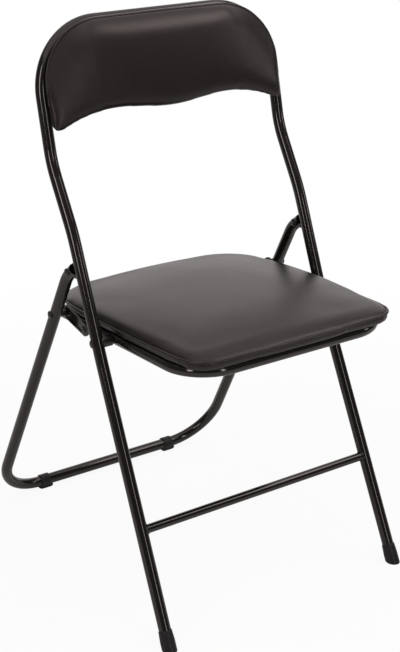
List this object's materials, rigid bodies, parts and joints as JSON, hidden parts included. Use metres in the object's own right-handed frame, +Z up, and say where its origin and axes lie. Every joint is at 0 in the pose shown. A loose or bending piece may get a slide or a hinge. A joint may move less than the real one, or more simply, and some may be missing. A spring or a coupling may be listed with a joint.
{
  "type": "folding chair",
  "caption": "Steel-tube folding chair with a padded vinyl seat and padded back; rear legs swing flat to the front legs while links fold the seat.",
  "frame": {"origin": "on the floor, in the middle of the open chair's footprint", "axes": "+Z up, -Y the way the sitter faces, +X to the sitter's left"},
  "size_m": [0.4206, 0.515, 0.7885],
  "materials": {
    "frame": "gloss black powder coat",
    "vinyl": "black vinyl, soft sheen",
    "board": "black faced fibreboard",
    "rubber": "matt black rubber",
    "plug": "matt black plastic",
    "fastener": "black steel",
    "spacer": "black steel"
  },
  "bodies": {
    "front_frame": {"front_frame_tube": "frame", "front_cross_bar": "frame", "front_foot_right": "rubber", "front_foot_left": "rubber", "leg_hinge_tongue_right": "frame", "leg_hinge_tongue_left": "frame", "seat_pivot_bushes": "spacer", "seat_pivot_rivets": "fastener", "backrest_board": "board", "backrest_cushion": "vinyl", "backrest_screws": "fastener", "backrest_tab_side_right": "frame", "backrest_tab_side_left": "frame", "backrest_tab_top_right": "frame", "backrest_tab_top_left": "frame"},
    "rear_frame": {"rear_frame_tube": "frame", "rear_foot_right": "rubber", "rear_foot_left": "rubber", "leg_hinge_rivets": "fastener", "link_leg_rivets": "fastener", "link_leg_spacers": "spacer"},
    "seat": {"seat_tab_front_right": "frame", "seat_tab_front_left": "frame", "seat_tab_rear_right": "frame", "seat_tab_rear_left": "frame", "seat_rail": "frame", "seat_rail_plug_right": "plug", "seat_rail_plug_left": "plug", "seat_board": "board", "seat_cushion": "vinyl", "seat_screws": "fastener", "link_seat_rivets": "fastener", "link_seat_spacers": "spacer"},
    "link_right": {"fold_link_right": "frame", "link_tail_right": "fastener"},
    "link_left": {"fold_link_left": "frame", "link_tail_left": "fastener"}
  },
  "joints": [
    {"name": "rear_fold", "type": "hinge", "parent": "front_frame", "child": "rear_frame", "pos_m": [0, 0.0035, 0.465], "axis": [-1, 0, 0], "range_deg": [0, 53.83]},
    {"name": "seat_fold", "type": "hinge", "parent": "front_frame", "child": "seat", "pos_m": [0, -0.0564, 0.3805], "axis": [1, 0, 0], "range_deg": [0, 67.31]},
    {"name": "link_right_fold", "type": "hinge", "parent": "seat", "child": "link_right", "pos_m": [0.1785, 0.00087, 0.3768], "axis": [-1, 0, 0], "range_deg": [0, 168.74]},
    {"name": "link_left_fold", "type": "hinge", "parent": "seat", "child": "link_left", "pos_m": [-0.1785, 0.00087, 0.3768], "axis": [-1, 0, 0], "range_deg": [0, 168.74]}
  ],
  "couplings": [
    {"joint": "seat_fold", "follows": "rear_fold", "ratio": 1.2503},
    {"joint": "link_right_fold", "follows": "rear_fold", "ratio": 3.1347},
    {"joint": "link_left_fold", "follows": "rear_fold", "ratio": 3.1347}
  ]
}
